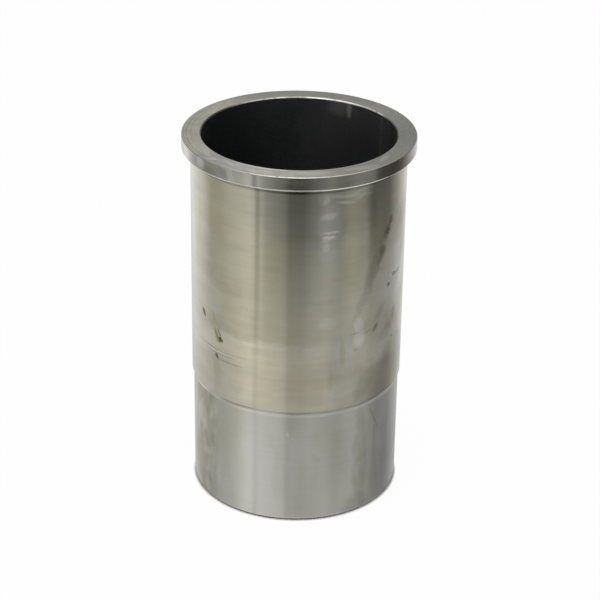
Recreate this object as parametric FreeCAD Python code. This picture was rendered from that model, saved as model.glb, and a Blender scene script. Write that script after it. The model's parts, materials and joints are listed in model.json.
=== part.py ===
import FreeCAD, Part
import math
import os

# Flanged wet cylinder liner, turned in one piece from a cast iron blank.
# Millimetres. The axis is +Z, the foot stands on z = 0 and the flange is at the top.
# All radial sizes build outwards from the bore, so a new bore carries the walls with it.

# Bore and its two ends
bore_diameter = 102.0
mouth_chamfer = 0.6
foot_bore_chamfer = 1.0

# Heights along the axis
liner_length = 202.0
flange_thickness = 8.2
lower_register_top = 67.0

# Wall and steps, each measured outwards from the surface inside it
lower_wall = 4.75
step_width = 0.9
flange_overhang = 4.55

# Foot edge outside, which leads the liner into its block
foot_chamfer = 1.0

# Step between the lower and the upper register: a taper that runs out in a hollow blend
step_taper_angle = 30.0
step_blend_radius = 2.6

# Relief turned under the flange, so that the seat meets the block without a corner in the way
relief_depth = 0.4
relief_corner_radius = 0.8
relief_land = 0.7
relief_runout_angle = 20.0

# Flange edges
flange_seat_chamfer = 1.3
flange_rim_chamfer = 0.35

# Radii and heights that follow
bore_radius = bore_diameter / 2
lower_radius = bore_radius + lower_wall
upper_radius = lower_radius + step_width
flange_radius = upper_radius + flange_overhang
relief_radius = upper_radius - relief_depth
seat_height = liner_length - flange_thickness

NODE = "cylinder_liner"
HALF_TURN = 180.0
QUARTER_TURN = 90.0
FULL_TURN = 360.0


def at(radius, height):
    """Point of the half section at this radius and this height above the foot."""
    return FreeCAD.Vector(radius, 0.0, height)


def around(centre, radius, angle):
    """Point at this angle in degrees on a circle drawn in the half section."""
    turn = math.radians(angle)
    return centre + at(radius * math.cos(turn), radius * math.sin(turn))


class HalfSection:
    """Outline of the wall on one side of the axis, drawn edge by edge from its first point."""

    def __init__(self, first_point):
        self.first_point = first_point
        self.last_point = first_point
        self.edges = []

    def line_to(self, point):
        self.edges.append(Part.LineSegment(self.last_point, point).toShape())
        self.last_point = point

    def arc_to(self, centre, radius, from_angle, to_angle):
        start = around(centre, radius, from_angle)
        if start.distanceToPoint(self.last_point) > Part.Precision.confusion():
            self.line_to(start)
        middle = around(centre, radius, (from_angle + to_angle) / 2)
        end = around(centre, radius, to_angle)
        self.edges.append(Part.Arc(self.last_point, middle, end).toShape())
        self.last_point = end

    def face(self):
        self.line_to(self.first_point)
        return Part.Face(Part.Wire(self.edges))


def draw_foot(section):
    """Flat ring that the liner stands on, and the outer edge that leads it in."""
    section.line_to(at(lower_radius - foot_chamfer, 0.0))
    section.line_to(at(lower_radius, foot_chamfer))


def draw_step(section):
    """Lower register up to its hollow blend, then the taper out to the upper register."""
    lean = math.radians(step_taper_angle)
    blend_width = step_blend_radius * (1 - math.cos(lean))
    blend_height = step_blend_radius * math.sin(lean)
    taper_height = (step_width - blend_width) / math.tan(lean)
    blend_start = lower_register_top - taper_height - blend_height
    centre = at(lower_radius + step_blend_radius, blend_start)
    section.arc_to(centre, step_blend_radius, HALF_TURN, HALF_TURN - step_taper_angle)
    section.line_to(at(upper_radius, lower_register_top))


def draw_flange_relief(section):
    """Upper register up to the shallow relief, which rounds into the flange seat."""
    runout_height = relief_depth / math.tan(math.radians(relief_runout_angle))
    corner_height = seat_height - relief_corner_radius
    land_foot = corner_height - relief_land
    section.line_to(at(upper_radius, land_foot - runout_height))
    section.line_to(at(relief_radius, land_foot))
    centre = at(relief_radius + relief_corner_radius, corner_height)
    section.arc_to(centre, relief_corner_radius, HALF_TURN, QUARTER_TURN)


def draw_flange(section):
    """Seat ring, flange wall and gasket face, with both outer edges chamfered."""
    section.line_to(at(flange_radius - flange_seat_chamfer, seat_height))
    section.line_to(at(flange_radius, seat_height + flange_seat_chamfer))
    section.line_to(at(flange_radius, liner_length - flange_rim_chamfer))
    section.line_to(at(flange_radius - flange_rim_chamfer, liner_length))


def draw_bore(section):
    """Chamfered mouth and the straight wall down to the chamfer at the foot."""
    section.line_to(at(bore_radius + mouth_chamfer, liner_length))
    section.line_to(at(bore_radius, liner_length - mouth_chamfer))
    section.line_to(at(bore_radius, foot_bore_chamfer))


def make_liner():
    """Turn the half section about the axis into the whole liner."""
    section = HalfSection(at(bore_radius + foot_bore_chamfer, 0.0))
    draw_foot(section)
    draw_step(section)
    draw_flange_relief(section)
    draw_flange(section)
    draw_bore(section)
    axis_point = FreeCAD.Vector(0, 0, 0)
    axis_direction = FreeCAD.Vector(0, 0, 1)
    return Part.makeSolid(section.face().revolve(axis_point, axis_direction, FULL_TURN))


def main():
    os.makedirs("parts", exist_ok=True)
    liner = make_liner()
    if not liner.isValid() or not liner.isClosed():
        raise RuntimeError("the liner isn't a closed, valid solid")
    liner.exportStep(os.path.join("parts", NODE + ".step"))
    box = liner.optimalBoundingBox(True, False)
    print(NODE, "faces", len(liner.Faces), "volume", round(liner.Volume, 1))
    print("box", [round(v, 3) for v in (box.XMin, box.YMin, box.ZMin, box.XMax, box.YMax, box.ZMax)])


main()
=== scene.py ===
import json
import math
from collections import Counter

import bpy
from bpy.props import FloatProperty, FloatVectorProperty, IntProperty, PointerProperty
from mathutils import Matrix, Vector


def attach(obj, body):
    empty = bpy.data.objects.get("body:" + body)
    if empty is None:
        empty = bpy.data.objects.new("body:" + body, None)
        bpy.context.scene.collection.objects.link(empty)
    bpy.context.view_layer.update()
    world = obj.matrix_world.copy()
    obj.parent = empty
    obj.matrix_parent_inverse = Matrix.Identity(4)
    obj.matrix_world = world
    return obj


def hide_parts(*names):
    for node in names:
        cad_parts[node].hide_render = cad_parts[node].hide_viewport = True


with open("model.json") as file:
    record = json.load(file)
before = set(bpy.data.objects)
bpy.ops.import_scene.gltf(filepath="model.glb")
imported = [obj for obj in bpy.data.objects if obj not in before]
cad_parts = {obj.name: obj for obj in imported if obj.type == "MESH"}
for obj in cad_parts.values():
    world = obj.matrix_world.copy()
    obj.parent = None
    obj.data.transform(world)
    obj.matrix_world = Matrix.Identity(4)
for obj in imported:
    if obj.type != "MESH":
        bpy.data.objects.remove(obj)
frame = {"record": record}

bl_info = {
    "name": "Cylinder Liner",
    "version": (1, 0, 0),
    "blender": (4, 5, 0),
    "location": "View3D > Sidebar > Liner",
    "description": "Turns a flanged cylinder liner with its machined finishes and sets its studio",
    "category": "Object",
}

MM = 0.001
NODE = "cylinder_liner"
WHITE = (1.0, 1.0, 1.0, 1.0)

MOUNTS = {mount["name"]: mount for mount in frame["record"]["mounts"]}
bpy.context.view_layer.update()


def mount_radius(name):
    """Wall radius of a round interface, in metres."""
    return MOUNTS[name]["dims"]["r_mm"] * MM


def mount_height(name):
    """Height of an interface's point above the foot, in metres."""
    return MOUNTS[name]["pos_m"][2]


def mount_end(name, side):
    """Height of a round interface's upper end (side 1) or lower end (side -1), in metres."""
    return mount_height(name) + side * MOUNTS[name]["dims"]["length_mm"] * MM / 2


def linear(code):
    """Linear RGB of an sRGB hex colour."""
    shares = [int(code[place:place + 2], 16) / 255 for place in (1, 3, 5)]
    return [share / 12.92 if share <= 0.04045 else ((share + 0.055) / 1.055) ** 2.4 for share in shares]


def length_property(name, description, default):
    return FloatProperty(name=name, description=description, default=default, min=0.0,
                         unit="LENGTH", subtype="DISTANCE", precision=5)


def angle_property(name, description, degrees):
    return FloatProperty(name=name, description=description, default=math.radians(degrees),
                         unit="ROTATION", subtype="ANGLE")


def colour_property(name, description, code):
    return FloatVectorProperty(name=name, description=description, default=linear(code),
                               min=0.0, max=1.0, size=3, subtype="COLOR")


class LinerSizes(bpy.types.PropertyGroup):
    """Sizes of the turned wall; radii and heights come from the frame's interfaces."""

    bore_radius: length_property("Bore radius", "Honed wall inside", mount_radius("cylinder_bore"))
    lower_radius: length_property("Lower radius", "Ground lower register", mount_radius("lower_register"))
    upper_radius: length_property("Upper radius", "Turned upper register", mount_radius("upper_register"))
    flange_radius: length_property("Flange radius", "Rim of the seating flange", 61.2 * MM)
    length: length_property("Length", "Foot to gasket face", mount_height("gasket_face"))
    seat_height: length_property("Seat height", "Foot to the flange's underside", mount_height("flange_seat"))
    step_top: length_property("Step top", "Where the upper register starts", mount_end("upper_register", -1))
    relief_foot: length_property("Relief foot", "Where the upper register ends",
                                 mount_end("upper_register", 1))
    foot_chamfer: length_property("Foot chamfer", "Outer edge of the foot", 1.0 * MM)
    foot_bore_chamfer: length_property("Foot bore chamfer", "Inner edge of the foot", 1.0 * MM)
    mouth_chamfer: length_property("Mouth chamfer", "Edge of the bore at the gasket face", 0.6 * MM)
    rim_chamfer: length_property("Rim chamfer", "Upper edge of the flange", 0.35 * MM)
    seat_chamfer: length_property("Seat chamfer", "Lower edge of the flange", 1.3 * MM)
    step_blend: length_property("Step blend", "Radius of the hollow under the step's taper", 2.6 * MM)
    step_taper: angle_property("Step taper", "Lean of the step's taper from the axis", 30.0)
    relief_depth: length_property("Relief depth", "Depth of the groove under the flange", 0.4 * MM)
    relief_corner: length_property("Relief corner", "Radius between the groove and the seat", 0.8 * MM)
    relief_runout: angle_property("Relief run-out", "Lean of the groove's lower flank", 20.0)
    edge_break: length_property("Edge break", "Width that deburring took off each corner", 0.12 * MM)
    around: IntProperty(name="Steps around", description="Facets of one turn", default=288, min=24)


class LinerFinish(bpy.types.PropertyGroup):
    """Colours of the machined and stained iron, and of the painted light and shade laid on it."""

    turned_iron: colour_property("Turned iron", "Upper wall under its thin storage film", "#B5B19D")
    film_tan: colour_property("Film", "Where the storage film has dried thicker", "#AEA98F")
    # Also the colour of painted reflection in tall strips along the wall's sides.
    pale_grey_and_sheen: colour_property("Pale grey", "Greyer, cleaner stretches of the upper wall", "#BCBDB2")
    # Painted shade: this cool grey darkens the wall just under the flange, where the flange shades it.
    cool_flange_shade: colour_property("Cool iron", "Greyer iron under the flange", "#A3A296")
    pale_iron: colour_property("Pale iron", "Foot of the upper wall, a shade paler", "#C7C4B4")
    warm_iron: colour_property("Warm iron", "Tan tinge at the front of the upper wall's foot", "#CBC1A8")
    # Also the colour of a painted reflection in a tall strip at the wall's left side.
    rubbed: colour_property("Rubbed iron", "Where the film was rubbed down to cool bare iron", "#CBCDD0")
    # Also the colour of painted highlights on the lower register and of painted glints in the bore.
    wiped: colour_property("Wiped iron", "Where a rag or a finger took the film off", "#DDDBD3")
    # Also the colour of painted shade in the corners under the step and the flange, and of a painted dark
    # reflection on the flange.
    smoke_and_shade: colour_property("Smoke", "Grey film that darkens the wall", "#6C695B")
    olive: colour_property("Olive stain", "Dried drops of oil", "#8F8C58")
    thick_oil: colour_property("Thick oil", "Where a drop of oil dried thick and yellow", "#A49E36")
    brown: colour_property("Brown stain", "Thin runs of old oil", "#4E4B3C")
    # Also the colour of painted shade over the step, under the seat, along the step's taper and on the
    # chamfers.
    burnt_and_shade: colour_property("Burnt mark", "Near black spots, ticks and scratches", "#2A271D")
    grey_film: colour_property("Grey film", "Dusty film on the right of the upper wall", "#BFBCAF")
    flange_iron: colour_property("Flange iron", "Flange wall, turned finer than the wall below", "#9B9B92")
    edge_iron: colour_property("Edge iron", "Bare metal of the chamfers and broken edges", "#CFCDC5")
    # Painted highlight: this colour brightens the flange's lower chamfer, the mouth chamfer at the back and
    # the bore's lip.
    edge_highlight: colour_property("Bright edge", "Where a burr was dressed off to clean metal", "#F6F5F0")
    # Also the colour of the painted shade on the foot's chamfers.
    edge_oil_and_shade: colour_property("Edge oil", "Oil that dulls the edges", "#76756A")
    ground_iron: colour_property("Ground iron", "Lower register, bare and bright", "#B3B2AC")
    ground_film: colour_property("Ground film", "Oil film on the lower register", "#A4A291")
    lower_oil: colour_property("Lower oil", "Darker oil at the left of the lower register", "#8D8B79")
    lower_grey: colour_property("Lower grey", "Duller grey at the right of the lower register", "#868584")
    faced_iron: colour_property("Faced iron", "Gasket face", "#C9C9C2")
    face_oil: colour_property("Face oil", "Oil film on the gasket face", "#DAD8C2")
    thumbed: colour_property("Thumbed iron", "Dull patches on the gasket face", "#8F8E83")
    honed_iron: colour_property("Honed iron", "Bore wall", "#A2A4A3")
    honed_dark: colour_property("Honed dark", "Bore wall where graphite darkens it", "#979999")
    # Painted shade: this colour darkens the bore's left and its right side.
    bore_shade: colour_property("Bore soot", "Darkest stretches of the bore", "#737576")


class StudioStage(bpy.types.PropertyGroup):
    """Camera, lamps and floor."""

    camera_place: FloatVectorProperty(name="Camera place", description="Where the camera stands",
                                      default=(0.0, -0.9691, 0.5865), size=3, subtype="TRANSLATION")
    camera_pitch: angle_property("Camera pitch", "How far the camera looks down", 26.436)
    camera_yaw: angle_property("Camera yaw", "Turn to the right", 0.097)
    camera_roll: angle_property("Camera roll", "Tilt of the camera body", 0.848)
    lens: FloatProperty(name="Lens", description="Focal length for a 36 mm sensor", default=120.31)
    dome: FloatProperty(name="Dome", description="Strength of the room's even light", default=0.72)


def add(tree, kind, settings=None, inputs=None, out=0):
    """Add a node, give it its settings, fill its inputs with values or sockets, and return an output."""
    node = tree.nodes.new(kind)
    for field, value in (settings or {}).items():
        setattr(node, field, value)
    for place, value in (inputs or {}).items():
        if isinstance(value, bpy.types.NodeSocket):
            tree.links.new(value, node.inputs[place])
        else:
            node.inputs[place].default_value = value
    return node.outputs[out]


def new_material(name):
    """Empty node material and its tree."""
    material = bpy.data.materials.new(name)
    material.use_nodes = True
    material.node_tree.nodes.clear()
    return material, material.node_tree


def opaque(colour):
    return (*colour, 1.0)


def add_output(tree, shader):
    output = tree.nodes.new("ShaderNodeOutputMaterial")
    tree.links.new(shader, output.inputs["Surface"])


def maths(tree, operation, *values):
    """Work out one sum on numbers."""
    return add(tree, "ShaderNodeMath", {"operation": operation}, dict(enumerate(values)))


def vectors(tree, operation, *values, out=0):
    """Work out one sum on vectors."""
    return add(tree, "ShaderNodeVectorMath", {"operation": operation}, dict(enumerate(values)), out)


def length_of(tree, vector):
    return vectors(tree, "LENGTH", vector, out="Value")


def ease(tree, value, start, end, low=0.0, high=1.0):
    """Go smoothly from low to high while the value goes from start to end."""
    return add(tree, "ShaderNodeMapRange", {"interpolation_type": "SMOOTHSTEP"}, {
        "Value": value, "From Min": start, "From Max": end, "To Min": low, "To Max": high})


def between(tree, share, none, full):
    """Go evenly from one number to another while the share goes from 0 to 1."""
    return add(tree, "ShaderNodeMapRange", None, {"Value": share, "To Min": none, "To Max": full})


def grooved_tangent(tree):
    """Direction across the turning grooves, which run round the axis on walls and faces alike."""
    place = add(tree, "ShaderNodeTexCoord", out="Object")
    normal = add(tree, "ShaderNodeNewGeometry", out="Normal")
    around = vectors(tree, "CROSS_PRODUCT", (0, 0, 1), place)
    return vectors(tree, "NORMALIZE", vectors(tree, "CROSS_PRODUCT", normal, around))


def in_millimetres(tree):
    """Object coordinates counted in millimetres."""
    place = add(tree, "ShaderNodeTexCoord", out="Object")
    return add(tree, "ShaderNodeVectorMath", {"operation": "SCALE"}, {0: place, "Scale": 1 / MM})


def turn_from_front(tree, split):
    """Angle round from the front of a point whose coordinates are split."""
    return maths(tree, "ARCTAN2", split.outputs["X"], maths(tree, "MULTIPLY", split.outputs["Y"], -1.0))


def unrolled(tree, radius, flat=False):
    """Wall laid flat in millimetres: x runs round from the front, y up or, on a flat face, outwards."""
    place = in_millimetres(tree)
    split = add(tree, "ShaderNodeSeparateXYZ", None, {0: place}).node
    arc_place = maths(tree, "MULTIPLY", turn_from_front(tree, split), radius / MM)
    outwards = split.outputs["Z"]
    if flat:
        outwards = length_of(tree, vectors(tree, "MULTIPLY", place, (1.0, 1.0, 0.0)))
    return add(tree, "ShaderNodeCombineXYZ", None, {"X": arc_place, "Y": outwards})


def ragged(tree, chart, grain, reach):
    """The chart with its points pushed about, so that what is drawn on it gets an uneven rim."""
    push = add(tree, "ShaderNodeTexNoise", None,
               {"Vector": chart, "Scale": 1 / grain, "Detail": 4.0, "Roughness": 0.62}, out="Color")
    centred = vectors(tree, "SUBTRACT", push, (0.5, 0.5, 0.5))
    return vectors(tree, "MULTIPLY_ADD", centred, (2 * reach, 2 * reach, 0.0), chart)


def marks_mask(tree, chart, radius, marks, soft):
    """Where a family of marks lies, each an ellipse on the unrolled wall."""
    mask = 0.0
    for bearing, height, half_length, half_width, lean, strength in marks:
        arc_place = math.radians(bearing) * radius / MM
        cosine, sine = math.cos(math.radians(lean)), math.sin(math.radians(lean))
        length_ways = (cosine / half_length, sine / half_length, 0)
        width_ways = (-sine / half_width, cosine / half_width, 0)
        offset = vectors(tree, "SUBTRACT", chart, (arc_place, height, 0))
        along = vectors(tree, "DOT_PRODUCT", offset, length_ways, out="Value")
        across = vectors(tree, "DOT_PRODUCT", offset, width_ways, out="Value")
        away = maths(tree, "MULTIPLY_ADD", across, across, maths(tree, "MULTIPLY", along, along))
        spot = ease(tree, away, (1 + soft) ** 2, (1 - soft) ** 2, high=strength)
        mask = maths(tree, "MAXIMUM", mask, spot)
    return mask


def tinted(tree, mask, under, over):
    """Lay one colour over another where the mask says."""
    return add(tree, "ShaderNodeMix", {"data_type": "RGBA"}, {0: mask, 6: under, 7: over}, out=2)


def cloud(tree, place, stretch, low, high, detail=3.0):
    """Seamless soft noise; stretch is the size of a patch in millimetres along each axis."""
    scaled = vectors(tree, "DIVIDE", place, stretch)
    noise = add(tree, "ShaderNodeTexNoise", None, {"Vector": scaled, "Scale": 1.0, "Detail": detail})
    return add(tree, "ShaderNodeMapRange", None, {"Value": noise, "From Min": low, "From Max": high})


def height_window(tree, place, low, high, soft):
    """1 between two heights in millimetres."""
    height = add(tree, "ShaderNodeSeparateXYZ", None, {0: place}, out="Z")
    above = ease(tree, height, low - soft, low + soft)
    below = ease(tree, height, high + soft, high - soft)
    return maths(tree, "MULTIPLY", above, below)


class Coat:
    """Colour of one finish, laid on in layers over the bare iron."""

    def __init__(self, tree, radius, iron):
        self.tree = tree
        self.radius = radius
        self.colour = opaque(iron)

    def tint(self, mask, over, share=1.0):
        """Lay a colour on where the mask says, as far as its share."""
        if share < 1.0:
            mask = maths(self.tree, "MULTIPLY", mask, share)
        self.colour = tinted(self.tree, mask, self.colour, opaque(over))

    def mark(self, chart, marks, over, soft, share=1.0):
        """Lay on a family of marks and return where it lies."""
        mask = marks_mask(self.tree, chart, self.radius, marks, soft)
        self.tint(mask, over, share)
        return mask


def finish_metal(tree, colour, roughness, stretch, bump_height, bump_depth, bare=1.0):
    """Metal with its own colour and gloss maps and a shallow relief; bare falls where a film hides it."""
    normal = add(tree, "ShaderNodeBump", None,
                 {"Strength": 1.0, "Distance": bump_depth, "Height": bump_height})
    add_output(tree, add(tree, "ShaderNodeBsdfPrincipled", None, {
        "Base Color": colour, "Metallic": bare, "Roughness": roughness, "Anisotropic": stretch,
        "Tangent": grooved_tangent(tree), "Normal": normal}))


# Marks on the upper register, one row each: degrees round from the front (left is minus), height in mm,
# half length and half width in mm, lean in degrees, strength.
BURNT_MARKS_AND_SHADE = [
    # painted shade over the step and under the seat
    (58.0, 67.2, 16.0, 0.4, 0, 0.34),
    (29.0, 193.3, 24.0, 0.8, 0, 0.42),
    # left: the oil spot, ticks near it and long fine scratches
    (-44.3, 101.2, 1.6, 0.95, -28, 0.85),
    (-43.1, 100.4, 0.7, 0.6, -50, 0.7),
    (-47.8, 103.5, 3.0, 0.3, -58, 0.62),
    (-45.4, 104.7, 2.8, 0.35, -56, 0.6),
    (-45.3, 99.9, 0.9, 0.5, -20, 0.7),
    (-59.1, 111.7, 2.5, 1.1, -56, 0.82),
    (-58.5, 110.9, 1.5, 1.0, -52, 0.6),
    (-47.3, 90.5, 1.6, 0.9, -46, 0.75),
    (-49.4, 112.4, 2.2, 0.4, -62, 0.2),
    (-55.0, 94.4, 9.5, 0.22, 0, 0.5),
    (-37.0, 94.5, 11.0, 0.22, 2, 0.22),
    (-47.0, 92.6, 12.0, 0.22, 0, 0.4),
    (-38.5, 89.2, 8.5, 0.5, 1, 0.24),
    # right: blots and short scratches
    (67.9, 134.1, 2.8, 0.8, 8, 0.52),
    (62.6, 134.2, 2.4, 1.0, -12, 0.46),
    (57.0, 130.0, 1.2, 1.1, 0, 0.68),
    (46.8, 109.6, 1.6, 0.7, 56, 0.38),
    (45.3, 107.6, 0.9, 0.6, 30, 0.3),
    (33.5, 109.3, 4.5, 0.22, -4, 0.3),
    (41.5, 108.4, 4.5, 0.22, 10, 0.35),
    (62.1, 98.0, 0.9, 0.9, 0, 0.55),
    (33.0, 99.8, 1.2, 0.4, 45, 0.3),
    # back
    (152.0, 108.0, 9.0, 0.22, 2, 0.35),
    (-158.0, 86.0, 12.0, 0.22, -1, 0.30),
    (-132.0, 148.0, 1.3, 0.8, -40, 0.55),
    (112.0, 126.0, 1.6, 0.7, 62, 0.50),
]
BROWN_STAINS = [
    # right: drips
    (57.2, 166.9, 2.0, 1.5, 84, 0.55),
    (54.2, 161.2, 3.2, 2.1, 58, 0.52),
    (54.5, 161.4, 1.8, 1.4, 50, 0.80),
    (50.4, 152.0, 2.4, 2.2, 44, 0.46),
    (48.4, 148.0, 4.0, 1.6, 66, 0.24),
    (49.6, 117.4, 4.4, 2.2, 52, 0.22),
    (63.1, 111.4, 3.6, 1.3, 90, 0.36),
    (46.5, 109.2, 2.4, 1.3, 56, 0.32),
    (56.0, 104.0, 7.0, 3.0, 30, 0.18),
    # back
    (138.0, 160.0, 2.6, 1.5, 70, 0.30),
    (-150.0, 122.0, 3.4, 1.8, -60, 0.26),
    (-104.0, 100.0, 3.0, 1.2, -74, 0.28),
]
OLIVE_STAINS = [
    # left: the oil spot, then thin films
    (-46.6, 103.4, 3.6, 1.5, -57, 0.45),
    (-47.6, 102.2, 2.6, 0.6, -57, 0.5),
    (-49.2, 112.4, 3.0, 0.9, -64, 0.25),
    (-48.0, 86.0, 2.4, 7.0, 0, 0.14),
    (-66.0, 168.0, 3.6, 30.0, 0, 0.18),
    # right: rims of the drips, then faint upright stripes
    (51.5, 151.0, 2.0, 1.2, 40, 0.3),
    (49.0, 147.6, 2.8, 1.0, 62, 0.3),
    (25.0, 99.5, 1.3, 6.4, 3, 0.28),
    (18.6, 84.5, 1.2, 5.6, -3, 0.22),
    (31.5, 172.0, 4.5, 12.0, 4, 0.2),
    (30.0, 150.0, 6.0, 12.0, -8, 0.2),
    # back
    (-128.0, 112.0, 2.2, 8.0, 4, 0.22),
    (160.0, 172.0, 7.0, 10.0, -6, 0.18),
]
THICK_OIL = [
    (-46.3, 100.5, 2.2, 1.3, -36, 0.8),
    (-47.0, 103.0, 2.8, 0.5, -58, 0.5),
]
SETTLED_OIL = [
    (53.0, 74.0, 20.0, 14.6, 4, 0.22),
]
RUBBED_PATCHES_AND_SIDE_SHEEN = [
    (16.6, 174.0, 5.6, 9.5, 0, 0.30),
    (15.6, 160.0, 4.0, 7.0, 0, 0.20),
    (14.0, 187.5, 3.4, 3.4, 0, 0.18),
    (26.0, 98.0, 6.0, 10.0, 0, 0.16),
    (25.0, 76.0, 8.0, 8.0, 0, 0.14),
    (62.5, 131.0, 10.0, 14.0, 0, 0.34),
    (52.0, 93.0, 7.0, 5.0, 10, 0.13),
    # a tall pale strip at the wall's left side: painted reflection
    (-82.0, 140.0, 9.0, 90.0, 0, 0.30),
]
WIPED_MARKS = [
    # right of the front: finger marks, then streaks under the flange
    (15.6, 178.2, 3.4, 1.5, 4, 0.30),
    (17.4, 179.4, 2.6, 0.7, -6, 0.26),
    (17.2, 169.4, 3.6, 0.6, 2, 0.46),
    (16.0, 166.9, 3.0, 0.8, -2, 0.62),
    (14.6, 165.4, 2.0, 1.0, 8, 0.30),
    (14.6, 161.4, 1.6, 2.2, -20, 0.30),
    (14.2, 187.0, 1.2, 2.4, -30, 0.24),
    (25.5, 184.9, 4.8, 0.8, -8, 0.34),
    (27.0, 188.2, 11.0, 0.9, -6, 0.26),
    (33.0, 189.6, 7.0, 0.8, 16, 0.20),
    (34.6, 187.2, 3.6, 0.8, 26, 0.26),
    # right: a chip and pale patches
    (59.0, 134.7, 0.8, 0.7, 0, 0.95),
    (16.4, 118.0, 4.8, 2.8, 0, 0.30),
    (34.4, 114.0, 2.8, 3.8, 10, 0.62),
    (35.2, 105.6, 3.2, 4.4, -8, 0.74),
    # left: the bright scratch and small rubs
    (-52.0, 93.2, 13.0, 0.36, 0, 1.0),
    (-46.2, 105.2, 2.4, 0.4, -57, 0.5),
    (-23.2, 162.0, 1.8, 0.5, 0, 0.28),
    (-22.5, 107.6, 2.4, 1.0, 0, 0.20),
    # back
    (146.0, 140.0, 5.0, 0.6, -8, 0.34),
    (-166.0, 150.0, 4.0, 1.6, 12, 0.26),
    (-112.0, 128.0, 9.0, 0.3, 1, 0.5),
]
GREY_FILM = [
    (59.0, 139.0, 31.0, 12.5, 65, 0.70),
    (43.0, 125.0, 11.0, 8.0, 60, 0.40),
    (46.0, 104.0, 12.0, 9.0, 20, 0.62),
    (66.0, 112.0, 10.0, 16.0, 0, 0.50),
    (49.0, 95.0, 8.0, 6.0, 10, 0.40),
]
# Painted shade of the flange on the wall just under it, in a cool grey.
FLANGE_SHADE_PATCHES = [
    (12.0, 188.0, 34.0, 22.0, 0, 0.85),
    (75.0, 180.0, 20.0, 30.0, 0, 0.6),
    (80.0, 194.0, 16.0, 9.0, 0, 0.6),
    (-76.0, 190.0, 14.0, 14.0, 0, 0.35),
]
PALE_PATCHES_AND_SIDE_SHEEN = [
    # the tall strips at -64, -84 and 86 degrees are painted reflection; the other two rows are pale patches
    (-64.0, 150.0, 9.0, 70.0, 0, 0.55),
    (-84.0, 140.0, 14.0, 90.0, 0, 0.7),
    (-52.0, 124.0, 9.0, 10.0, 0, 0.5),
    (86.0, 130.0, 16.0, 90.0, 0, 0.8),
    (22.0, 140.0, 22.0, 34.0, 0, 0.5),
]
WARM_PATCHES = [
    (-12.0, 82.0, 22.0, 12.0, 0, 0.5),
    (-20.0, 98.0, 20.0, 7.0, 0, 0.35),
    (12.0, 84.0, 12.0, 8.0, 0, 0.2),
]
SMOKED_PATCHES = [
    (70.0, 177.0, 9.0, 18.0, 0, 0.46),
    (76.0, 136.0, 5.0, 16.0, 0, 0.26),
    (66.0, 100.0, 8.0, 12.0, 0, 0.20),
    (70.0, 82.0, 8.0, 15.0, 0, 0.62),
    (-33.0, 94.0, 9.0, 9.0, 0, 0.12),
    (25.0, 92.0, 8.0, 10.0, 0, 0.18),
    (166.0, 128.0, 12.0, 5.0, 10, 0.16),
    (-148.0, 96.0, 14.0, 4.0, -6, 0.16),
    (120.0, 150.0, 6.0, 16.0, 8, 0.16),
    (-120.0, 170.0, 8.0, 14.0, -4, 0.14),
    (-67.0, 73.0, 9.0, 7.0, 0, 0.12),
    (-63.0, 106.0, 5.0, 9.0, 0, 0.10),
    (-74.0, 178.0, 5.0, 12.0, 0, 0.16),
    (-55.0, 146.0, 6.0, 12.0, 0, 0.10),
    (-50.0, 133.6, 9.0, 2.8, -4, 0.12),
    (-38.0, 131.8, 9.0, 2.2, 2, 0.10),
    (-43.0, 108.6, 10.0, 2.4, 0, 0.12),
    (-28.0, 107.0, 12.0, 1.8, 0, 0.10),
    (-47.5, 80.0, 2.6, 10.0, 0, 0.10),
    (-33.0, 77.0, 5.0, 4.0, 30, 0.10),
    (4.0, 84.0, 12.0, 9.0, 0, 0.12),
    (31.0, 84.0, 8.0, 7.0, 0, 0.20),
    (30.0, 100.0, 5.0, 6.0, 0, 0.16),
    (46.0, 76.0, 10.0, 6.0, 30, 0.18),
    (58.0, 81.0, 12.0, 7.0, 24, 0.36),
    (63.0, 84.0, 9.0, 10.0, 8, 0.50),
    (60.0, 70.0, 14.0, 6.0, 0, 0.48),
    (33.0, 72.0, 9.0, 4.0, 10, 0.25),
    (24.0, 92.0, 9.0, 12.0, 0, 0.2),
    (40.5, 179.0, 3.0, 12.0, 4, 0.25),
    (43.0, 140.0, 22.0, 2.8, 65, 0.26),
    (20.0, 174.0, 5.0, 7.0, 0, 0.18),
]


# Heights in mm between which the wall turns paler towards the bottom, the settled oil fades, and painted
# shade darkens the corners under the step and the flange.
PALER_BELOW = (108.5, 102.5)
SETTLED_EDGE = (100.0, 84.0)
STEP_SHADE_BAND = (66.0, 67.0, 0.1)
SEAT_SHADE_BAND = (191.1, 193.5, 0.4)


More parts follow.
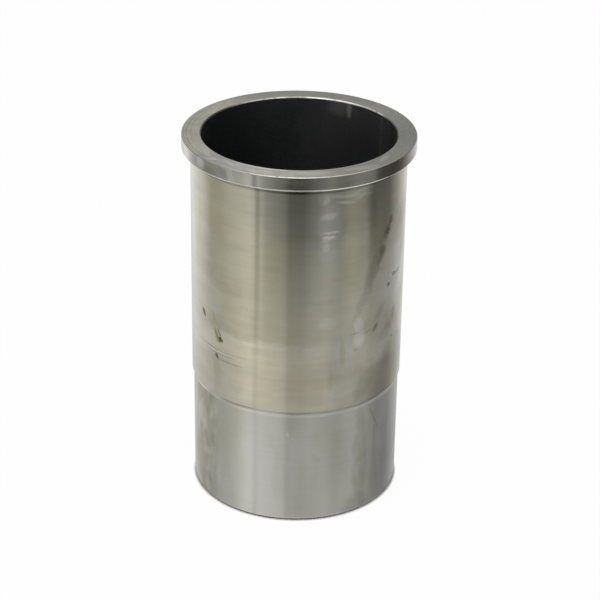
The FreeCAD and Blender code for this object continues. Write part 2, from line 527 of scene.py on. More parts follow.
def turned_iron(finish, sizes):
    """Turned grey cast iron that stood in a thin film of storage oil: dull, greenish, wiped in places, with
    painted shade in its corners and under the flange and painted reflections along its sides.
    """
    material, tree = new_material("turned_cast_iron")
    place = in_millimetres(tree)
    chart = unrolled(tree, sizes.upper_radius)
    torn = ragged(tree, chart, grain=1.6, reach=0.45)
    drifting = ragged(tree, chart, grain=11.0, reach=5.0)
    height = add(tree, "ShaderNodeSeparateXYZ", None, {0: drifting}, out="Y")
    coat = Coat(tree, sizes.upper_radius, finish.turned_iron)
    coat.tint(cloud(tree, place, (34.0, 34.0, 46.0), low=0.38, high=0.66), finish.film_tan)
    coat.tint(ease(tree, height, *PALER_BELOW), finish.pale_iron, share=0.75)
    coat.mark(drifting, WARM_PATCHES, finish.warm_iron, soft=0.5)
    coat.mark(drifting, PALE_PATCHES_AND_SIDE_SHEEN, finish.pale_grey_and_sheen, soft=0.4)
    coat.mark(drifting, FLANGE_SHADE_PATCHES, finish.cool_flange_shade, soft=0.5)
    filmed = coat.mark(drifting, GREY_FILM, finish.grey_film, soft=0.45)
    coat.tint(ease(tree, height, *SETTLED_EDGE), finish.smoke_and_shade, share=0.17)
    coat.tint(cloud(tree, place, (24.0, 24.0, 6.5), low=0.46, high=0.70), finish.smoke_and_shade, share=0.11)
    coat.mark(drifting, SMOKED_PATCHES, finish.smoke_and_shade, soft=0.6)
    # Real feed marks are about 0.2 mm apart; these are drawn about 2 mm apart so that they show.
    rings = cloud(tree, place, (90.0, 90.0, 1.9), low=0.30, high=0.70, detail=2.0)
    coat.tint(rings, finish.smoke_and_shade, share=0.06)
    coat.mark(ragged(tree, chart, grain=5.0, reach=1.6), SETTLED_OIL, finish.smoke_and_shade, soft=0.12)
    coat.mark(torn, RUBBED_PATCHES_AND_SIDE_SHEEN, finish.rubbed, soft=0.5)
    wiped = coat.mark(torn, WIPED_MARKS, finish.wiped, soft=0.5, share=0.6)
    coat.mark(torn, OLIVE_STAINS, finish.olive, soft=0.5)
    coat.mark(torn, THICK_OIL, finish.thick_oil, soft=0.4)
    coat.mark(torn, BROWN_STAINS, finish.brown, soft=0.6)
    coat.mark(torn, BURNT_MARKS_AND_SHADE, finish.burnt_and_shade, soft=0.35)
    # Painted shade: the corners under the step and under the flange are darkened with the smoke colour.
    corners = [height_window(tree, place, *window) for window in (STEP_SHADE_BAND, SEAT_SHADE_BAND)]
    coat.tint(maths(tree, "MAXIMUM", *corners), finish.smoke_and_shade, share=0.5)
    dulled = maths(tree, "MAXIMUM", filmed, wiped)
    gloss = between(tree, dulled, none=0.185, full=0.42)
    bare = between(tree, dulled, none=1.0, full=0.45)
    finish_metal(tree, coat.colour, gloss, stretch=1.0, bump_height=rings, bump_depth=0.002 * MM, bare=bare)
    return material


# Marks on the lower register, counted in the same way; the longest go all the way round.
LOWER_MARKS_AND_SHADE = [
    (49.0, 53.0, 10.0, 0.36, -64, 0.24),
    (37.0, 0.0, 8.0, 9.0, 0, 0.22),
    (11.6, 38.2, 2.6, 1.4, -50, 0.07),
    (-12.0, 45.0, 5.0, 0.3, 8, 0.06),
    # painted shade along the step's taper, deepest at the front and on the right
    (0.0, 66.0, 400.0, 1.05, 0, 0.14),
    (0.0, 66.0, 9.0, 1.05, 0, 0.30),
    (58.0, 66.5, 18.0, 0.8, 0, 0.62),
    (-42.0, 65.9, 16.0, 0.5, 0, 0.20),
    # darker patches and marks
    (-67.0, 28.0, 8.0, 20.0, 0, 0.07),
    (-58.0, 6.0, 10.0, 9.0, 0, 0.18),
    (72.0, 12.0, 9.0, 24.0, 0, 0.25),
    (156.0, 40.0, 6.0, 0.3, 18, 0.16),
    (-136.0, 24.0, 2.2, 1.2, -50, 0.10),
]
LOWER_WIPES_AND_HIGHLIGHTS = [
    # pale marks
    (-4.0, 53.0, 0.6, 1.5, 10, 0.20),
    (-52.0, 55.0, 3.0, 5.0, -16, 0.14),
    (-57.0, 42.0, 2.6, 7.0, 12, 0.08),
    # painted highlights along the step's hollow
    (-6.0, 64.2, 34.0, 0.8, 0, 0.24),
    (32.0, 64.2, 22.0, 0.7, 0, 0.17),
    (54.0, 64.6, 14.0, 0.7, 0, 0.28),
    # painted highlight all round along the foot
    (0.0, 1.5, 400.0, 0.6, 0, 0.22),
    # painted highlights along the step's hollow on the left
    (-64.0, 65.3, 6.0, 0.7, 0, 0.9),
    (-53.0, 65.1, 8.0, 0.6, 0, 0.36),
    # pale streaks
    (46.5, 38.0, 1.6, 14.0, -3, 0.06),
    (55.5, 47.0, 4.0, 20.0, 0, 0.07),
]
LOWER_FILM = [
    (-62.0, 34.0, 11.0, 44.0, 0, 1.0),
    (-44.0, 20.0, 8.0, 30.0, 12, 0.1),
    (38.5, 32.0, 4.0, 30.0, 2, 0.42),
]
LOWER_GREY = [
    (64.0, 30.0, 16.0, 44.0, 0, 0.55),
    (76.0, 30.0, 21.0, 44.0, 0, 1.0),
]


def ground_iron(finish, sizes):
    """Ground grey cast iron: bare, brighter and smoother than the turned wall above, with painted shade along
    the step's taper and painted highlights along the step's hollow and the foot.
    """
    material, tree = new_material("ground_cast_iron")
    place = in_millimetres(tree)
    chart = unrolled(tree, sizes.lower_radius)
    torn = ragged(tree, chart, grain=2.0, reach=0.5)
    drifting = ragged(tree, chart, grain=14.0, reach=4.0)
    film = cloud(tree, place, (26.0, 26.0, 60.0), low=0.40, high=0.68)
    coat = Coat(tree, sizes.lower_radius, finish.ground_iron)
    coat.tint(film, finish.ground_film, share=0.6)
    # Real grinding marks are finer than 0.05 mm; these are drawn 1.3 mm apart so that they show.
    rings = cloud(tree, place, (70.0, 70.0, 1.3), low=0.30, high=0.70, detail=2.0)
    coat.tint(rings, finish.smoke_and_shade, share=0.04)
    oiled = marks_mask(tree, drifting, sizes.lower_radius, LOWER_FILM, soft=0.5)
    blotches = cloud(tree, place, (7.0, 7.0, 13.0), low=0.40, high=0.58)
    patchy = between(tree, blotches, none=0.45, full=1.15)
    oiled = add(tree, "ShaderNodeMath", {"operation": "MULTIPLY", "use_clamp": True}, {0: oiled, 1: patchy})
    coat.tint(oiled, finish.lower_oil)
    coat.mark(drifting, LOWER_GREY, finish.lower_grey, soft=0.4)
    light = coat.mark(torn, LOWER_WIPES_AND_HIGHLIGHTS, finish.wiped, soft=0.6)
    coat.mark(torn, LOWER_MARKS_AND_SHADE, finish.burnt_and_shade, soft=0.5)
    gloss = between(tree, film, none=0.20, full=0.24)
    bare = between(tree, light, none=1.0, full=0.3)
    finish_metal(tree, coat.colour, gloss, stretch=0.98, bump_height=rings, bump_depth=0.001 * MM, bare=bare)
    return material


# Marks on the gasket face: degrees round from the front, mm from the axis, then as before.
FACE_OIL = [
    (-104.0, 56.0, 40.0, 9.0, 0, 0.85),
]
FACE_DULL = [
    (-168.0, 56.0, 24.0, 9.0, 0, 0.36),
    (166.0, 56.0, 24.0, 9.0, 0, 0.38),
    (-48.0, 56.0, 10.0, 9.0, 0, 0.35),
    (34.0, 56.0, 24.0, 9.0, 0, 0.50),
    (12.0, 53.0, 10.0, 1.4, 0, 0.40),
]
FACE_RING = [
    (-100.0, 58.6, 60.0, 0.25, 0, 0.5),
    (-112.0, 56.2, 40.0, 0.22, 0, 0.3),
    (-62.0, 60.0, 34.0, 0.25, 0, 0.35),
    (160.0, 57.4, 50.0, 0.22, 0, 0.3),
    (150.0, 59.2, 30.0, 0.22, 0, 0.25),
]
# Painted highlight along the bore's lip at the front left.
FACE_LIP_HIGHLIGHT = [
    (-19.0, 52.0, 11.0, 1.1, 0, 0.6),
]
FACE_SCUFFS = [
    (-58.0, 55.0, 5.0, 1.6, 20, 0.5),
    (-49.0, 57.4, 3.0, 1.2, -30, 0.6),
    (-39.0, 55.6, 4.0, 1.0, 16, 0.5),
    (-20.0, 57.0, 6.0, 1.4, -8, 0.4),
    (8.0, 55.5, 8.0, 2.4, 4, 0.35),
    (34.0, 57.0, 8.0, 1.6, 10, 0.35),
    (52.0, 55.0, 5.0, 1.4, -14, 0.4),
]


def faced_iron(finish, sizes):
    """Faced grey cast iron: fine rings round the bore, oil at the left and thumbed, scuffed patches, with a
    painted highlight along the bore's lip.
    """
    material, tree = new_material("faced_cast_iron")
    place = in_millimetres(tree)
    chart = unrolled(tree, sizes.upper_radius, flat=True)
    drifting = ragged(tree, chart, grain=7.0, reach=2.2)
    # Real facing rings are about 0.1 mm apart; these are drawn about 1 mm apart so that they show.
    ring_place = vectors(tree, "MULTIPLY", chart, (0.0, 1.0, 0.0))
    rings = add(tree, "ShaderNodeTexNoise", None, {"Vector": ring_place, "Scale": 0.9, "Detail": 1.0})
    thumbed = cloud(tree, place, (7.0, 7.0, 7.0), low=0.44, high=0.64, detail=1.5)
    coat = Coat(tree, sizes.upper_radius, finish.faced_iron)
    coat.tint(thumbed, finish.thumbed, share=0.45)
    coat.tint(rings, finish.thumbed, share=0.22)
    coat.mark(drifting, FACE_OIL, finish.face_oil, soft=0.5)
    coat.mark(drifting, FACE_DULL, finish.thumbed, soft=0.5)
    coat.mark(drifting, FACE_SCUFFS, finish.wiped, soft=0.5)
    coat.mark(chart, FACE_LIP_HIGHLIGHT, finish.edge_highlight, soft=0.6)
    coat.mark(chart, FACE_RING, finish.smoke_and_shade, soft=0.4)
    gloss = between(tree, thumbed, none=0.20, full=0.28)
    finish_metal(tree, coat.colour, gloss, stretch=0.70, bump_height=rings, bump_depth=0.0015 * MM)
    return material


# Marks on the flange's wall, counted as on the wall below it.
FLANGE_SMOKE_AND_SHADE = [
    # painted dark reflections across the flange's height on the right
    (68.0, 198.0, 26.0, 8.0, 0, 0.85),
    (26.0, 198.0, 10.0, 8.0, 0, 0.25),
    # smudges and darker stretches on the left
    (-47.0, 197.0, 5.0, 2.4, 10, 0.36),
    (-39.0, 199.0, 4.0, 1.8, -10, 0.34),
    (-60.0, 198.0, 3.0, 3.0, 0, 0.30),
    (-42.0, 198.0, 7.0, 8.0, 0, 0.16),
]
FLANGE_WIPED = [
    (-19.0, 198.0, 7.0, 8.0, 0, 0.22),
    (-34.0, 198.0, 1.6, 8.0, 6, 0.15),
    (-54.0, 199.0, 3.0, 2.4, 0, 0.30),
    (-70.0, 198.0, 4.0, 4.0, 0, 0.25),
]


def flange_iron(finish, sizes):
    """Flange wall: turned finer and kept cleaner than the long wall, so it mirrors darker gaps deeper; its
    right side also carries a painted dark reflection.
    """
    material, tree = new_material("flange_cast_iron")
    place = in_millimetres(tree)
    chart = ragged(tree, unrolled(tree, sizes.flange_radius), grain=9.0, reach=3.0)
    handled = cloud(tree, place, (14.0, 14.0, 8.0), low=0.48, high=0.70)
    coat = Coat(tree, sizes.flange_radius, finish.flange_iron)
    coat.tint(handled, finish.film_tan, share=0.5)
    # Real feed marks here are about 0.1 mm apart; these are drawn 0.9 mm apart so that they show.
    rings = cloud(tree, place, (70.0, 70.0, 0.9), low=0.30, high=0.70, detail=2.0)
    coat.tint(rings, finish.smoke_and_shade, share=0.10)
    coat.mark(chart, FLANGE_SMOKE_AND_SHADE, finish.smoke_and_shade, soft=0.4)
    coat.mark(chart, FLANGE_WIPED, finish.wiped, soft=0.4)
    gloss = between(tree, handled, none=0.17, full=0.24)
    finish_metal(tree, coat.colour, gloss, stretch=1.0, bump_height=rings, bump_depth=0.001 * MM)
    return material


# Marks on the chamfers and broken edges, all counted at the upper register's radius.
# Painted highlights on the flange's lower chamfer.
EDGE_HIGHLIGHTS = [
    (26.0, 194.6, 15.0, 2.0, 0, 0.85),
    (-14.0, 194.6, 12.0, 2.0, 0, 0.30),
    (-50.0, 194.6, 16.0, 2.0, 0, 0.45),
]
EDGE_OIL_AND_FOOT_SHADE = [
    # oil on the rim's chamfer, then on the seat's chamfer at the left
    (-95.0, 202.0, 58.0, 4.0, 0, 0.8),
    (92.0, 202.0, 44.0, 4.0, 0, 0.65),
    (-75.0, 194.5, 26.0, 2.5, 0, 0.6),
    # painted shade on both chamfers of the foot
    (0.0, 0.0, 400.0, 2.0, 0, 1.0),
]
EDGE_SHADE = [
    (0.0, 193.8, 400.0, 0.3, 0, 0.6),
    (62.0, 194.4, 14.0, 1.4, 0, 0.22),
]
# Painted highlight on the mouth chamfer at the back.
MOUTH_HIGHLIGHTS = [
    (154.0, 202.0, 9.0, 4.0, 0, 0.6),
]
MOUTH_SHADE = [
    (-95.0, 202.0, 42.0, 4.0, 0, 0.86),
    (-157.0, 202.0, 14.0, 4.0, 0, 0.12),
    (-180.0, 202.0, 8.6, 4.0, 0, 0.60),
    (180.0, 202.0, 4.2, 4.0, 0, 0.60),
    (173.0, 202.0, 2.6, 4.0, 0, 0.16),
    (94.0, 202.0, 26.0, 4.0, 0, 0.86),
    (131.0, 202.0, 9.0, 4.0, 0, 0.32),
    (158.4, 202.0, 0.9, 4.0, 0, 0.35),
]


def edge_iron(name, finish, sizes, oil, bright, shade):
    """Chamfers and broken edges: bare metal, nicked, and oily at both sides, with the painted highlights and
    painted shade that its tables give.
    """
    material, tree = new_material(name)
    chart = unrolled(tree, sizes.upper_radius)
    nicks = cloud(tree, in_millimetres(tree), (3.0, 3.0, 1.2), low=0.56, high=0.72)
    coat = Coat(tree, sizes.upper_radius, finish.edge_iron)
    coat.tint(nicks, finish.smoke_and_shade, share=0.7)
    coat.mark(ragged(tree, chart, grain=8.0, reach=2.0), oil, finish.edge_oil_and_shade, soft=0.4)
    # Painted highlights, then painted shade, on the chamfers.
    highlighted = coat.mark(chart, bright, finish.edge_highlight, soft=0.6)
    coat.mark(chart, shade, finish.burnt_and_shade, soft=0.3)
    gloss = between(tree, nicks, none=0.36, full=0.50)
    bare = between(tree, highlighted, none=1.0, full=0.2)
    finish_metal(tree, coat.colour, gloss, stretch=0.5, bump_height=nicks, bump_depth=-0.02 * MM, bare=bare)
    return material


# Marks on the bore, counted at its own radius.
# Painted glints and sheen on the bore's back right.
BORE_GLINTS = [
    (148.5, 199.0, 1.1, 4.8, 0, 0.50),
    (155.5, 199.5, 4.6, 5.0, 0, 0.22),
    (144.5, 199.5, 3.0, 4.6, 0, 0.09),
    (121.6, 190.0, 0.8, 14.0, 2, 0.20),
    (134.0, 190.0, 18.0, 10.0, 0, 0.06),
    (140.0, 170.0, 26.0, 26.0, 0, 0.05),
]
# Painted shade on the bore's left and along its right side.
BORE_SHADE = [
    (-112.0, 180.0, 38.0, 60.0, 0, 0.8),
    (100.0, 170.0, 8.0, 60.0, 0, 0.5),
]


# Real hone grooves are a few hundredths wide; these are drawn 1.6 mm apart so that they show.
# Each set winds a whole number of times round the bore, so it closes on itself.
HONE_WINDS = (82, -82, 51, -51)
HONE_LEAN = math.radians(24.0)


def honed_iron(finish, sizes):
    """Plateau honed grey cast iron: dark graphite grey, cross-hatched at about 45 degrees, with painted shade
    on its left and painted glints at its back right.
    """
    material, tree = new_material("honed_cast_iron")
    chart = unrolled(tree, sizes.bore_radius)
    split = add(tree, "ShaderNodeSeparateXYZ", None, {0: chart}).node
    hatch = 0.0
    for winds in HONE_WINDS:
        per_millimetre = winds / (sizes.bore_radius / MM)
        rise = abs(per_millimetre) / math.tan(HONE_LEAN)
        round_part = maths(tree, "MULTIPLY", split.outputs["X"], per_millimetre)
        groove = maths(tree, "SINE", maths(tree, "MULTIPLY_ADD", split.outputs["Y"], rise, round_part))
        hatch = maths(tree, "ADD", groove, hatch)
    drifting = ragged(tree, chart, grain=6.0, reach=1.5)
    coat = Coat(tree, sizes.bore_radius, finish.honed_iron)
    coat.tint(cloud(tree, in_millimetres(tree), (16.0, 16.0, 70.0), low=0.35, high=0.65), finish.honed_dark)
    coat.mark(drifting, BORE_SHADE, finish.bore_shade, soft=0.5)
    glinting = coat.mark(drifting, BORE_GLINTS, finish.wiped, soft=0.9)
    bare = between(tree, glinting, none=1.0, full=0.6)
    finish_metal(tree, coat.colour, 0.32, stretch=0.0, bump_height=hatch, bump_depth=0.005 * MM, bare=bare)
    return material


def arc(centre, radius, start, end, steps):
    """Points of a round stretch of the half section, as (radius, height) pairs."""
    turns = [math.radians(start + (end - start) * step / steps) for step in range(steps + 1)]
    return [(centre[0] + radius * math.cos(turn), centre[1] + radius * math.sin(turn)) for turn in turns]


BLEND_STEPS = 5
CORNER_STEPS = 8


def wall_corners(s):
    """Corners of the half section, out along the foot, up the outside, over the flange and down the bore."""
    blend_width = s.step_blend * (1 - math.cos(s.step_taper))
    taper_height = (s.upper_radius - s.lower_radius - blend_width) / math.tan(s.step_taper)
    blend_foot = s.step_top - taper_height - s.step_blend * math.sin(s.step_taper)
    relief_radius = s.upper_radius - s.relief_depth
    land_foot = s.relief_foot + s.relief_depth / math.tan(s.relief_runout)
    foot = [(s.bore_radius + s.foot_bore_chamfer, 0.0),
            (s.lower_radius - s.foot_chamfer, 0.0),
            (s.lower_radius, s.foot_chamfer)]
    step = arc((s.lower_radius + s.step_blend, blend_foot), s.step_blend,
               180, 180 - math.degrees(s.step_taper), BLEND_STEPS)
    relief = [(s.upper_radius, s.relief_foot), (relief_radius, land_foot)]
    corner = arc((relief_radius + s.relief_corner, s.seat_height - s.relief_corner), s.relief_corner,
                 180, 90, CORNER_STEPS)
    flange = [(s.flange_radius - s.seat_chamfer, s.seat_height),
              (s.flange_radius, s.seat_height + s.seat_chamfer),
              (s.flange_radius, s.length - s.rim_chamfer),
              (s.flange_radius - s.rim_chamfer, s.length)]
    bore = [(s.bore_radius + s.mouth_chamfer, s.length),
            (s.bore_radius, s.length - s.mouth_chamfer),
            (s.bore_radius, s.foot_bore_chamfer)]
    return foot + step + [(s.upper_radius, s.step_top)] + relief + corner + flange + bore


# Distance from a corner to the ring that keeps it crisp, and the longest step between two rings.
HOLD = 0.3 * MM
RING_SPACING = 9.0 * MM


def with_rings(corners):
    """The corners, with a ring close to each end of a long run and even rings between them."""
    rings = []
    for here, there in zip(corners, corners[1:] + corners[:1]):
        run = math.dist(here, there)
        shares = [0.0]
        if run > 3 * HOLD:
            shares.append(HOLD / run)
            spans = math.ceil((run - 2 * HOLD) / RING_SPACING)
            step = (1 - 2 * HOLD / run) / spans
            shares += [HOLD / run + step * count for count in range(1, spans + 1)]
        rings += [tuple(a + (b - a) * share for a, b in zip(here, there)) for share in shares]
    return rings


WELD = 0.005 * MM


def raise_wall(rings, around):
    """Pull a circle through every ring of the half section, round to where it started."""
    first_radius, first_height = rings[0]
    bpy.ops.mesh.primitive_circle_add(vertices=around, radius=first_radius, fill_type="NOTHING",
                                      location=(0, 0, 0), enter_editmode=True)
    bpy.ops.transform.translate(value=(0, 0, first_height))
    radius, height = first_radius, first_height
    for next_radius, next_height in rings[1:] + rings[:1]:
        bpy.ops.mesh.extrude_region_move(TRANSFORM_OT_translate={"value": (0, 0, next_height - height)})
        share = next_radius / radius
        bpy.ops.transform.resize(value=(share, share, 1), center_override=(0, 0, next_height))
        radius, height = next_radius, next_height
    bpy.ops.mesh.select_all(action="SELECT")
    bpy.ops.mesh.remove_doubles(threshold=WELD)
    bpy.ops.mesh.normals_make_consistent(inside=False)
    bpy.ops.object.mode_set(mode="OBJECT")
    return bpy.context.object


EDGE_SEGMENTS = 3
SHARP_CORNER = math.radians(15)
SMOOTH_CORNER = math.radians(35)


def break_edges(piece, width):
    """Take the sharpness off the turned corners."""
    bevel = piece.modifiers.new("edge_break", "BEVEL")
    bevel.width = width
    bevel.segments = EDGE_SEGMENTS
    bevel.limit_method = "ANGLE"
    bevel.angle_limit = SHARP_CORNER
    bpy.ops.object.modifier_apply(modifier=bevel.name)
    bpy.ops.object.shade_smooth_by_angle(angle=SMOOTH_CORNER)


def must_be_closed(piece):
    """Stop if the turned wall has a gap or a doubled face."""
    uses = Counter(edge for polygon in piece.data.polygons for edge in polygon.edge_keys)
    if not uses or set(uses.values()) != {2}:
        raise RuntimeError("the liner's wall isn't closed")


# How far a face may lie from its zone's border, and the upward part of a level and of a tilted normal.
BORE_SLACK = 0.05 * MM
ZONE_SLACK = 0.1 * MM
LEVEL = 0.95
TILTED = 0.25


def zone_of(polygon, s):
    """Which finish a face has, by its place on the wall."""
    centre = polygon.center
    radius = math.hypot(centre.x, centre.y)
    if radius < s.bore_radius + BORE_SLACK:
        return "honed"
    if polygon.normal.z > LEVEL:
        return "faced"
    if centre.z > s.seat_height and radius < s.bore_radius + s.mouth_chamfer:
        return "mouth"
    if centre.z > s.seat_height - ZONE_SLACK:
        return "edge" if abs(polygon.normal.z) > TILTED else "flange"
    if radius < s.bore_radius + s.foot_bore_chamfer or centre.z < s.foot_chamfer:
        return "edge"
    if radius < s.upper_radius and centre.z < s.step_top - ZONE_SLACK:
        return "ground"
    return "turned"


class LINER_OT_turn_liner(bpy.types.Operator):
    """Turn the liner's wall, break its edges and give each zone its finish"""

    bl_idname = "liner.turn_liner"
    bl_label = "Turn the liner"

    def execute(self, context):
        sizes, finish = context.scene.liner_sizes, context.scene.liner_finish
        bpy.ops.object.select_all(action="DESELECT")
        piece = raise_wall(with_rings(wall_corners(sizes)), sizes.around)
        piece.name = piece.data.name = "turned_liner"
        break_edges(piece, sizes.edge_break)
        must_be_closed(piece)
        finishes = {
            "turned": turned_iron(finish, sizes),
            "ground": ground_iron(finish, sizes),
            "faced": faced_iron(finish, sizes),
            "flange": flange_iron(finish, sizes),
            "edge": edge_iron("edge_cast_iron", finish, sizes, EDGE_OIL_AND_FOOT_SHADE, EDGE_HIGHLIGHTS, EDGE_SHADE),
            "mouth": edge_iron("mouth_cast_iron", finish, sizes, [], MOUTH_HIGHLIGHTS, MOUTH_SHADE),
            "honed": honed_iron(finish, sizes),
        }
        order = list(finishes)
        for material in finishes.values():
            piece.data.materials.append(material)
        for polygon in piece.data.polygons:
            polygon.material_index = order.index(zone_of(polygon, sizes))
        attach(piece, "root")
        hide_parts(NODE)
        return {"FINISHED"}


def background_light(tree):
    """1 for the rays that see the background: from the camera, off metal or through glass."""
    path = add(tree, "ShaderNodeLightPath", out="Is Camera Ray").node
    seen = maths(tree, "MAXIMUM", path.outputs["Is Camera Ray"], path.outputs["Is Glossy Ray"])
    return maths(tree, "MAXIMUM", seen, path.outputs["Is Transmission Ray"])


def light_room(stage):
    """Even white room: white where it is seen, at the dome's strength where it lights."""
    world = bpy.data.worlds.new("studio_room")
    world.use_nodes = True
    tree = world.node_tree
    tree.nodes.clear()
    strength = between(tree, background_light(tree), none=stage.dome, full=1.0)
    room = add(tree, "ShaderNodeBackground", None, {"Color": WHITE, "Strength": strength})
    output = tree.nodes.new("ShaderNodeOutputWorld")
    tree.links.new(room, output.inputs["Surface"])
    bpy.context.scene.world = world


FLOOR_SIZE = 40.0
CONTACT_WIDTH = 1.3 * MM
BOARD_GREY = (0.95, 0.95, 0.95, 1.0)
WHITE_SHARE = 0.96


def lay_floor(sizes):
    """Pale matt floor that reads white and still takes the liner's shadow."""
    bpy.ops.mesh.primitive_plane_add(size=FLOOR_SIZE, location=(0, 0, 0))
    floor = bpy.context.object
    floor.name = "studio_floor"
    material, tree = new_material("white_matt_board")
    reach = length_of(tree, add(tree, "ShaderNodeTexCoord", out="Object"))
    outside = ease(tree, reach, sizes.lower_radius, sizes.lower_radius + CONTACT_WIDTH)
    seen = maths(tree, "MULTIPLY", background_light(tree), outside)
    share = maths(tree, "MULTIPLY", seen, WHITE_SHARE)
    board = add(tree, "ShaderNodeBsdfDiffuse", None, {"Color": BOARD_GREY})
    white = add(tree, "ShaderNodeEmission", None, {"Color": WHITE, "Strength": 1.0})
    add_output(tree, add(tree, "ShaderNodeMixShader", None, {0: share, 1: board, 2: white}))
    floor.data.materials.append(material)


TENT_RADIUS = 0.5
TENT_HEIGHT = 0.8
TENT_SIDES = 96
TENT_LIFT = 0.3 * MM
TENT_CLEARANCE = 0.2 * MM
# Greys of the light tent, which only reflections show: bearing in degrees round from the front,
# grey close by the foot and grey out at the tent's wall.
TENT_GREYS = [
    (-180, 0.62, 0.70),
    (-140, 1.00, 1.35),
    (-120, 0.92, 0.98),
    (-103, 0.78, 0.60),
    (-90, 0.76, 0.66),
    (-75, 0.92, 0.78),
    (-53, 1.17, 0.95),
    (-48, 1.10, 0.94),
    (-46, 0.90, 0.84),
    (-43, 1.06, 0.20),
    (-39, 1.08, 0.84),
    (-35, 1.06, 0.48),
    (-29, 1.02, 0.38),
    (-14, 0.95, 0.22),
    (-9, 0.76, 0.06),
    (6, 0.76, 0.04),
    (13, 0.80, 0.16),
    (31, 0.82, 0.42),
    (46, 0.70, 0.33),
    (60, 0.74, 0.56),
    (78, 0.70, 0.42),
    (84, 0.61, 0.15),
    (112, 0.51, 0.14),
    (122, 0.52, 0.44),
    (135, 0.80, 0.95),
    (150, 0.90, 1.20),
    (180, 0.65, 0.75),
]


NEAR, FAR = 1, 2
# Distances from the axis between which the near grey gives way to the far one.
NEAR_TO_FAR = (0.18, 0.52)
# Card behind the liner: the heights and depths between which it comes in, the heights between which
# its grey rises, that grey below and above, and how much of it the left and the right side have.
CARD_HEIGHTS = (0.24, 0.34)
CARD_DEPTHS = (-0.1, 0.2)
CARD_RISE = (0.41, 0.49)
CARD_GREYS = (0.30, 0.84)
CARD_SIDE = 0.15
CARD_LEFT, CARD_RIGHT = 1.35, 0.80
# Painted contact shadow: a dark ring where the ground sheet ends at the liner's foot, which only reflections
# show.
CONTACT_SHADE_EDGE = (0.0560, 0.0572)
CONTACT_SHADE_GREY = (0.10, 0.10, 0.10, 1.0)


def bearing_from_wall(tree, turn, reach, radius):
    """Bearing in which the wall mirrors a point of the tent, so that the tent's seams look upright."""
    closeness = maths(tree, "DIVIDE", radius, reach)
    wall_turn = maths(tree, "DIVIDE", turn, maths(tree, "SUBTRACT", 2.0, closeness))
    aside = maths(tree, "MULTIPLY", maths(tree, "SINE", wall_turn), closeness)
    return maths(tree, "ADD", turn, maths(tree, "ARCSINE", aside))


def grey_ramp(tree, share, column):
    """One column of the tent's greys, once round from the back."""
    ramp = add(tree, "ShaderNodeValToRGB", None, {"Fac": share})
    elements = ramp.node.color_ramp.elements
    for stop in TENT_GREYS[1:-1]:
        elements.new((stop[0] + 180) / 360)
    for element, stop in zip(elements, TENT_GREYS):
        element.position = (stop[0] + 180) / 360
        element.color = (stop[column], stop[column], stop[column], 1.0)
    return ramp


def tent_cloth(sizes):
    """Cloth that glows in the greys above, with a card behind the liner and a painted contact shadow at its
    foot.
    """
    material, tree = new_material("tent_cloth")
    split = add(tree, "ShaderNodeSeparateXYZ", None, {0: add(tree, "ShaderNodeTexCoord", out="Object")}).node
    aside, depth, height = split.outputs["X"], split.outputs["Y"], split.outputs["Z"]
    reach = length_of(tree, add(tree, "ShaderNodeCombineXYZ", None, {"X": aside, "Y": depth}))
    bearing = bearing_from_wall(tree, turn_from_front(tree, split), reach, sizes.upper_radius)
    share = add(tree, "ShaderNodeMapRange", None,
                {"Value": bearing, "From Min": -math.pi, "From Max": math.pi})
    cloth = tinted(tree, ease(tree, reach, *NEAR_TO_FAR), grey_ramp(tree, share, NEAR),
                   grey_ramp(tree, share, FAR))
    card = maths(tree, "MULTIPLY", ease(tree, height, *CARD_HEIGHTS), ease(tree, depth, *CARD_DEPTHS))
    side = add(tree, "ShaderNodeMapRange", None, {
        "Value": aside, "From Min": -CARD_SIDE, "From Max": CARD_SIDE,
        "To Min": CARD_LEFT, "To Max": CARD_RIGHT})
    card_grey = maths(tree, "MULTIPLY", ease(tree, height, *CARD_RISE, *CARD_GREYS), side)
    cloth = tinted(tree, card, cloth, card_grey)
    # Painted contact shadow at the liner's foot.
    cloth = tinted(tree, ease(tree, reach, *CONTACT_SHADE_EDGE), CONTACT_SHADE_GREY, cloth)
    add_output(tree, add(tree, "ShaderNodeEmission", None, {"Color": cloth, "Strength": 1.0}))
    return material


def hang_tent(sizes):
    """Light tent round the liner: a ground sheet and a round wall that only reflections show."""
    inner_radius = sizes.lower_radius + TENT_CLEARANCE
    bpy.ops.mesh.primitive_circle_add(vertices=TENT_SIDES, radius=inner_radius, fill_type="NOTHING",
                                      location=(0, 0, TENT_LIFT), enter_editmode=True)
    bpy.ops.mesh.extrude_region_move()
    share = TENT_RADIUS / inner_radius
    bpy.ops.transform.resize(value=(share, share, 1), center_override=(0, 0, TENT_LIFT))
    bpy.ops.mesh.extrude_region_move(TRANSFORM_OT_translate={"value": (0, 0, TENT_HEIGHT)})
    bpy.ops.object.mode_set(mode="OBJECT")
    tent = bpy.context.object
    bpy.ops.object.transform_apply()
    tent.name = "light_tent"
    tent.data.materials.append(tent_cloth(sizes))
    for kind in ("camera", "diffuse", "transmission", "volume_scatter", "shadow"):
        setattr(tent, "visible_" + kind, False)


LAMP_PLACE = (-0.08, -0.40, 0.95)
LAMP_AIM = Vector((0, 0, 0.15))
LAMP_SIZE = 0.6
LAMP_WATTS = 2.0


def hang_softbox():
    """Large soft lamp above and a little in front."""
    bpy.ops.object.light_add(type="AREA", location=LAMP_PLACE)
    lamp = bpy.context.object
    lamp.name = "softbox"
    lamp.data.size = LAMP_SIZE
    lamp.data.energy = LAMP_WATTS
    lamp.rotation_euler = (LAMP_AIM - lamp.location).to_track_quat("-Z", "Y").to_euler()


SENSOR_WIDTH = 36.0
CLIP_END = 100.0


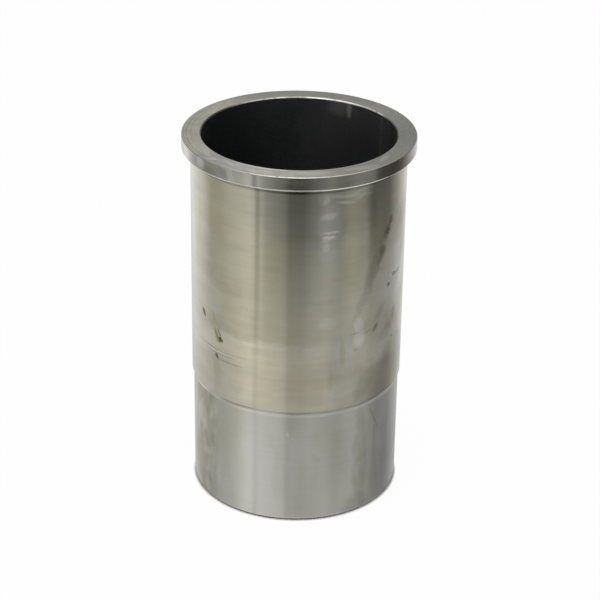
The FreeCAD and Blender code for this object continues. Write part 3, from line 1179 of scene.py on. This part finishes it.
def place_camera(stage):
    bpy.ops.object.camera_add(location=stage.camera_place)
    camera = bpy.context.object
    turn = (Matrix.Rotation(-stage.camera_yaw, 4, "Z")
            @ Matrix.Rotation(math.pi / 2 - stage.camera_pitch, 4, "X")
            @ Matrix.Rotation(stage.camera_roll, 4, "Z"))
    camera.rotation_euler = turn.to_euler()
    camera.data.lens = stage.lens
    camera.data.sensor_width = SENSOR_WIDTH
    camera.data.clip_end = CLIP_END
    bpy.context.scene.camera = camera


class LINER_OT_set_stage(bpy.types.Operator):
    """Lay the floor, hang the lamps and place the camera"""

    bl_idname = "liner.set_stage"
    bl_label = "Set the stage"

    def execute(self, context):
        stage = context.scene.liner_stage
        bpy.ops.object.select_all(action="DESELECT")
        light_room(stage)
        lay_floor(context.scene.liner_sizes)
        hang_tent(context.scene.liner_sizes)
        hang_softbox()
        place_camera(stage)
        context.scene.view_settings.view_transform = "Standard"
        if context.scene.camera is None or context.scene.world is None:
            raise RuntimeError("the stage has no camera or no room light")
        return {"FINISHED"}


class LINER_PT_sidebar(bpy.types.Panel):
    """Sizes, finishes and stage of the liner"""

    bl_label = "Cylinder Liner"
    bl_idname = "LINER_PT_sidebar"
    bl_space_type = "VIEW_3D"
    bl_region_type = "UI"
    bl_category = "Liner"

    def draw(self, context):
        for group in (context.scene.liner_sizes, context.scene.liner_finish, context.scene.liner_stage):
            for name in group.__annotations__:
                self.layout.prop(group, name)
        self.layout.operator(LINER_OT_turn_liner.bl_idname)
        self.layout.operator(LINER_OT_set_stage.bl_idname)


CLASSES = (LinerSizes, LinerFinish, StudioStage, LINER_OT_turn_liner, LINER_OT_set_stage, LINER_PT_sidebar)


def register():
    for cls in CLASSES:
        bpy.utils.register_class(cls)
    bpy.types.Scene.liner_sizes = PointerProperty(type=LinerSizes)
    bpy.types.Scene.liner_finish = PointerProperty(type=LinerFinish)
    bpy.types.Scene.liner_stage = PointerProperty(type=StudioStage)


def unregister():
    for name in ("liner_sizes", "liner_finish", "liner_stage"):
        delattr(bpy.types.Scene, name)
    for cls in reversed(CLASSES):
        bpy.utils.unregister_class(cls)


def main():
    register()
    bpy.ops.liner.turn_liner()
    bpy.ops.liner.set_stage()


if __name__ == "__main__":
    main()
